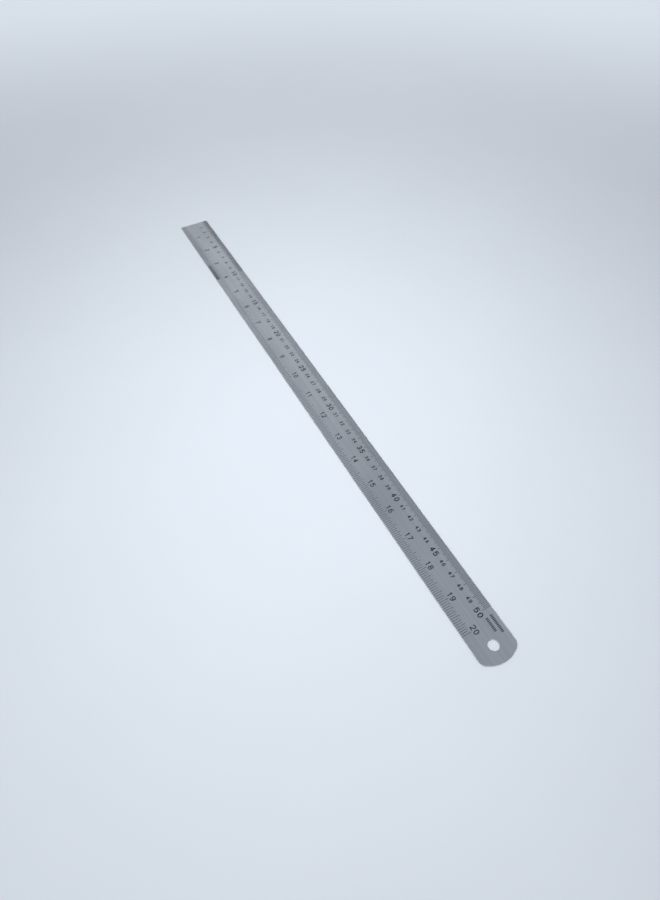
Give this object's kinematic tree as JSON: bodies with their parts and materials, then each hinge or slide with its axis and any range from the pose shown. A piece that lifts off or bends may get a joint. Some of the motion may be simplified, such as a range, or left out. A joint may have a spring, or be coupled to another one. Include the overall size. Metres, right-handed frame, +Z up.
{
  "type": "steel ruler",
  "caption": "Flat steel ruler with a square zero end, a round end with a hang hole, and metric and inch scales along its two long edges.",
  "frame": {"origin": "on the surface the ruler lies on, under the middle of its length and width", "axes": "+X along the ruler from the square zero end to the round end with the hole, +Y across it from the inch edge to the metric edge, +Z up out of the graduated face"},
  "size_m": [0.533, 0.029, 0.001],
  "materials": {
    "stainless_steel": "fine satin, grained along the length",
    "scale_fill": "matte black filling of the etched marks and numbers"
  },
  "bodies": {
    "root": {"blade": "stainless_steel"}
  },
  "joints": []
}
